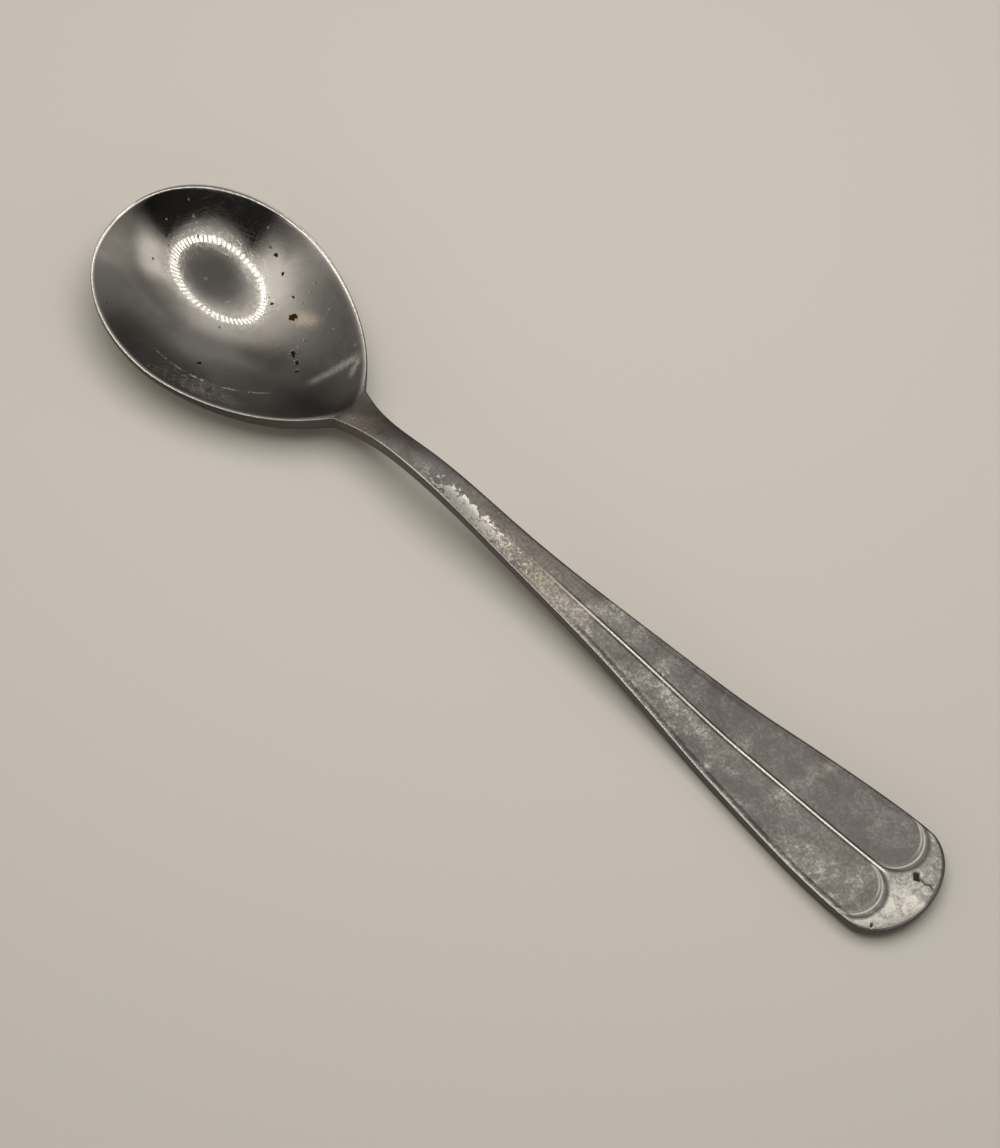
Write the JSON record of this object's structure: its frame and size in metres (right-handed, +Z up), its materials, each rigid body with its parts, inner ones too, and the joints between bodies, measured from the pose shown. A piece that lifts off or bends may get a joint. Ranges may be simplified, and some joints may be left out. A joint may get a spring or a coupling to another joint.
{
  "type": "tablespoon",
  "caption": "Metal tablespoon lying face up: oval dished bowl, narrow neck and a handle that widens to a round end with fluted panels, a fine centre ridge and stepped lobes.",
  "frame": {"origin": "on the table under the middle of the spoon's length, with the spoon lying face up", "axes": "+X from the bowl towards the handle's end, +Z up out of the open bowl"},
  "size_m": [0.2, 0.0436, 0.0112],
  "materials": {
    "bowl_steel": "worn polish with fine scratches, small pits and a rust spot",
    "handle_steel": "satin with mottled pale wear and a bright grainy end pad"
  },
  "bodies": {
    "root": {"bowl": "bowl_steel", "handle": "handle_steel"}
  },
  "joints": []
}
